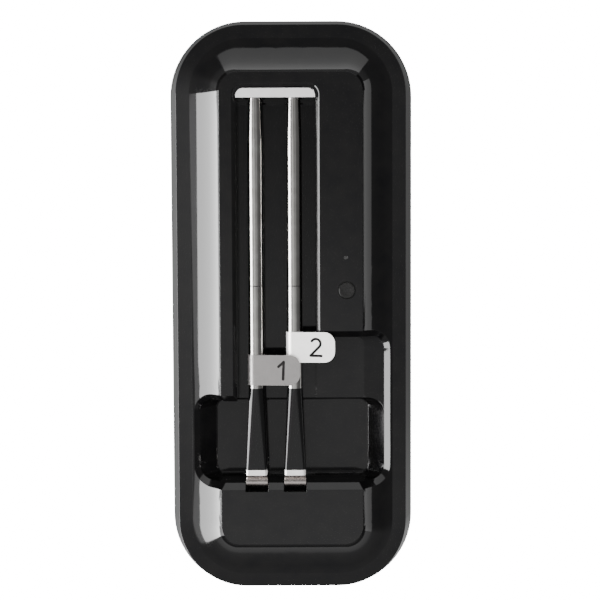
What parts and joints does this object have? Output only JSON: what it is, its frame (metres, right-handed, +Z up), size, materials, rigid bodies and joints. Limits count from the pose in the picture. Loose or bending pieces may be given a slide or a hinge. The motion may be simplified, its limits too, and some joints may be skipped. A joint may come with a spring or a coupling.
{
  "type": "meat thermometer",
  "caption": "Wireless meat thermometer: stainless probes with black ceramic handles and number tags, lying in a glossy black charging dock.",
  "frame": {"origin": "under the middle of the dock, on the surface that its rubber feet stand on", "axes": "+Z up out of the dock's face, +Y along the probes towards their tips, +X towards the side with the power button"},
  "size_m": [0.082, 0.194, 0.0217],
  "materials": {
    "case_black": "glossy black moulded plastic",
    "cover_black": "fine matt texture",
    "button_black": "satin",
    "probe_steel": "polished stainless steel",
    "flag_steel": "satin stainless sheet",
    "plate_steel": "satin stainless sheet",
    "contact_metal": "nickel plated spring strip",
    "handle_ceramic": "black glazed ceramic",
    "foot_rubber": "matt",
    "magnet_nickel": "nickel plated",
    "screw_steel": "black zinc",
    "board_green": "solder mask",
    "chip_black": "moulded package",
    "switch_metal": "stamped",
    "led_clear": "clear",
    "cell_wrap": "printed sleeve",
    "flex_amber": "polyimide ribbon",
    "sensor_white": "unglazed"
  },
  "bodies": {
    "dock": {"top_housing": "case_black", "bottom_cover": "cover_black", "case_screws": "screw_steel", "rubber_feet": "foot_rubber", "magnets": "magnet_nickel", "circuit_board": "board_green", "board_screws": "screw_steel", "control_chips": "chip_black", "tact_switch": "switch_metal", "status_led": "led_clear", "led_light_guide": "led_clear", "battery_1": "cell_wrap", "battery_2": "cell_wrap", "battery_springs": "contact_metal", "battery_contact_plates": "contact_metal", "tip_contact_plate": "plate_steel", "handle_contact_1": "contact_metal", "handle_contact_2": "contact_metal", "charge_flex": "flex_amber"},
    "button": {"power_button": "button_black"},
    "door": {"battery_door": "cover_black"},
    "probe_1": {"probe_1_shaft": "probe_steel", "probe_1_handle": "handle_ceramic", "probe_1_end_cap": "probe_steel", "probe_1_sensor": "sensor_white", "probe_1_board": "board_green", "probe_1_cell": "cell_wrap", "probe_1_antenna": "sensor_white"},
    "tag_1": {"flag_1": "flag_steel"},
    "probe_2": {"probe_2_shaft": "probe_steel", "probe_2_handle": "handle_ceramic", "probe_2_end_cap": "probe_steel", "probe_2_sensor": "sensor_white", "probe_2_board": "board_green", "probe_2_cell": "cell_wrap", "probe_2_antenna": "sensor_white"},
    "tag_2": {"flag_2": "flag_steel"}
  },
  "joints": [
    {"name": "probe_1_lift", "type": "hinge", "parent": "dock", "child": "probe_1", "pos_m": [-0.0117, 0.0694, 0.01965], "axis": [-1, 0, 0], "range_deg": [0, 30]},
    {"name": "probe_2_lift", "type": "hinge", "parent": "dock", "child": "probe_2", "pos_m": [0.001, 0.0694, 0.01965], "axis": [-1, 0, 0], "range_deg": [0, 16]},
    {"name": "tag_1_turn", "type": "hinge", "parent": "probe_1", "child": "tag_1", "pos_m": [-0.0117, -0.02, 0.0174], "axis": [0, -1, 0], "range_deg": [0, 120]},
    {"name": "tag_2_turn", "type": "hinge", "parent": "probe_2", "child": "tag_2", "pos_m": [0.001, -0.0125, 0.0174], "axis": [0, -1, 0], "range_deg": [0, 12]},
    {"name": "button_press", "type": "slide", "parent": "dock", "child": "button", "axis": [0, 0, -1], "range_m": [0, 0.0005], "stiffness_N_per_m": 400},
    {"name": "door_open", "type": "hinge", "parent": "dock", "child": "door", "pos_m": [0.021, 0.05805, 0.0008], "axis": [1, 0, 0], "range_deg": [0, 75]}
  ],
  "couplings": [
    {"joint": "tag_1_turn", "follows": "probe_2_lift", "ratio": 7.5}
  ]
}
